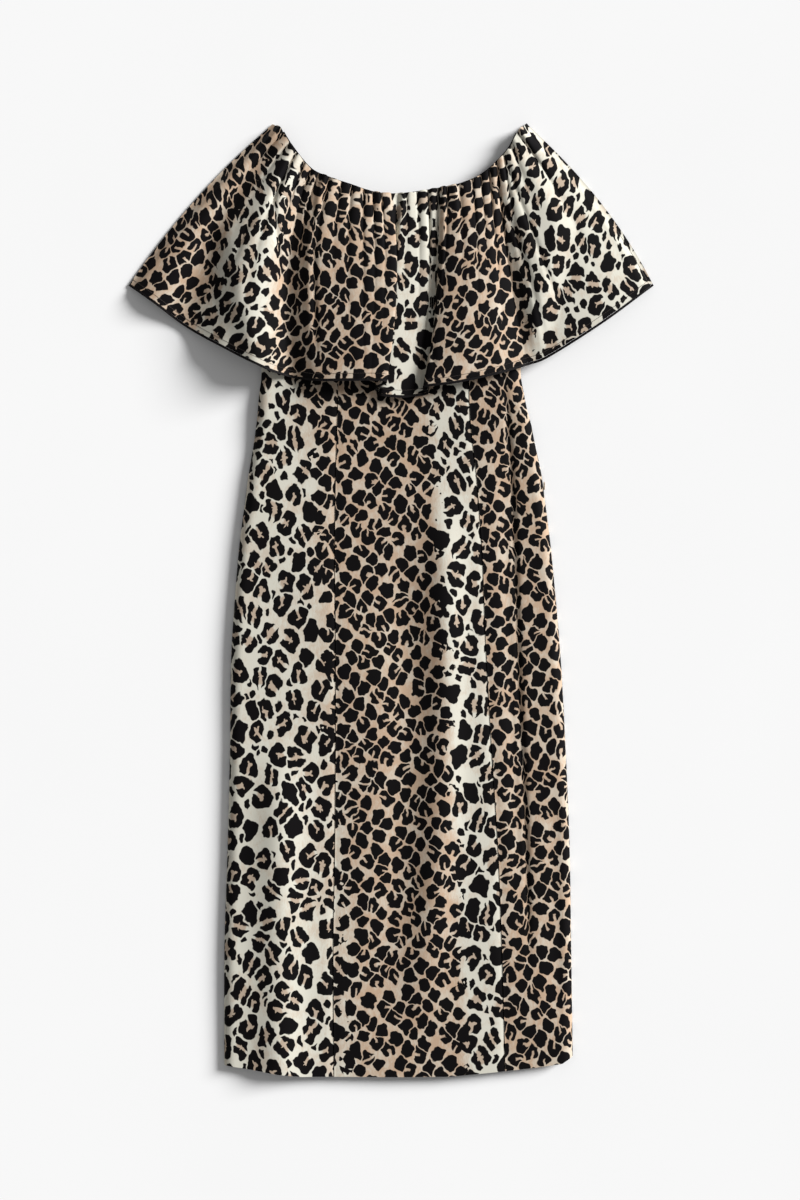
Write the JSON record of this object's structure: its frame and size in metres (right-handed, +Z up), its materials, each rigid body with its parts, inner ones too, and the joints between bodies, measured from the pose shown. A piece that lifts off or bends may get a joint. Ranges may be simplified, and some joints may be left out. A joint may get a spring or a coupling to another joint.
{
  "type": "off-shoulder dress",
  "caption": "Mid-length off-shoulder sheath dress with princess seams and a wide flounce gathered at the neckline, laid flat on its back.",
  "frame": {"origin": "centre of the garment's footprint on the surface it lies on", "axes": "+Y from hem to neckline, +X to the right seen from above, +Z up out of the front of the dress"},
  "size_m": [0.6584, 1.1927, 0.0388],
  "materials": {
    "printed_cloth": "smooth woven cloth, printed with black animal spots on cream and tan, low sheen",
    "black_trim": "black narrow woven edging, matt",
    "zip_tape": "pale folded tape end, matt"
  },
  "bodies": {
    "root": {"body_front_centre": "printed_cloth", "body_front_left": "printed_cloth", "body_front_right": "printed_cloth", "body_back": "printed_cloth", "flounce_front": "printed_cloth", "flounce_back": "printed_cloth", "flounce_front_edging": "black_trim", "flounce_back_edging": "black_trim", "neck_casing_front": "black_trim", "neck_casing_back": "black_trim", "side_zip_end": "zip_tape"}
  },
  "joints": []
}
